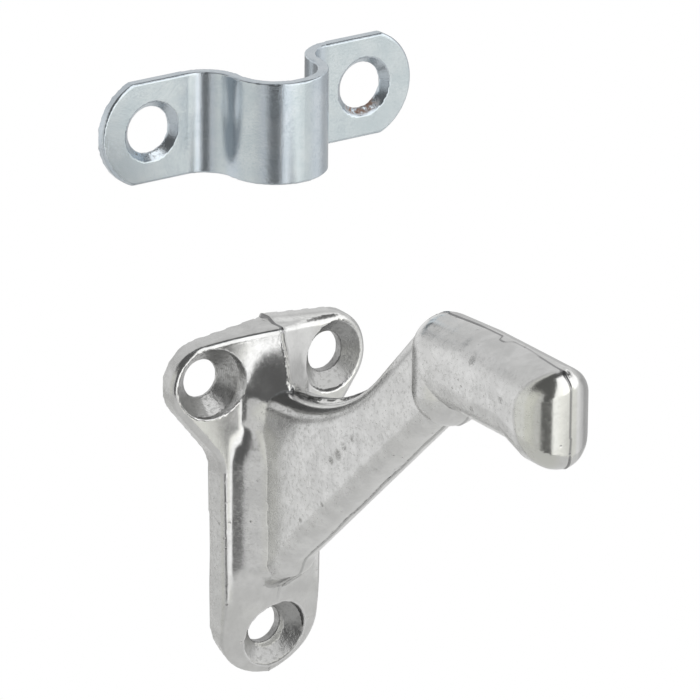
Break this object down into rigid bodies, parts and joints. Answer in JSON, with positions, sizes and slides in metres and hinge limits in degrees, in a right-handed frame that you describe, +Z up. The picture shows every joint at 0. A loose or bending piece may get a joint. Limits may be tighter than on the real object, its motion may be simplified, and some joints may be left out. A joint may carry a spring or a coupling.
{
  "type": "handrail bracket",
  "caption": "Cast wall bracket with a keyhole-shaped screw plate, a triangular web and a round-edged bar that carries a handrail, with the bent steel strap that clamps it to the rail.",
  "frame": {"origin": "on the wall plane, midway between the two upper screw holes of the cast plate", "axes": "+Z up the wall, +Y into the wall, so the bar reaches out along -Y; +X along the wall"},
  "size_m": [0.0492, 0.0721, 0.0888],
  "materials": {
    "cast_aluminium": "tumbled and lightly polished, with small casting pits",
    "zinc_plated_steel": "bright zinc plating with fine rolling marks"
  },
  "bodies": {
    "root": {"wall_bracket": "cast_aluminium", "rail_strap": "zinc_plated_steel"}
  },
  "joints": []
}
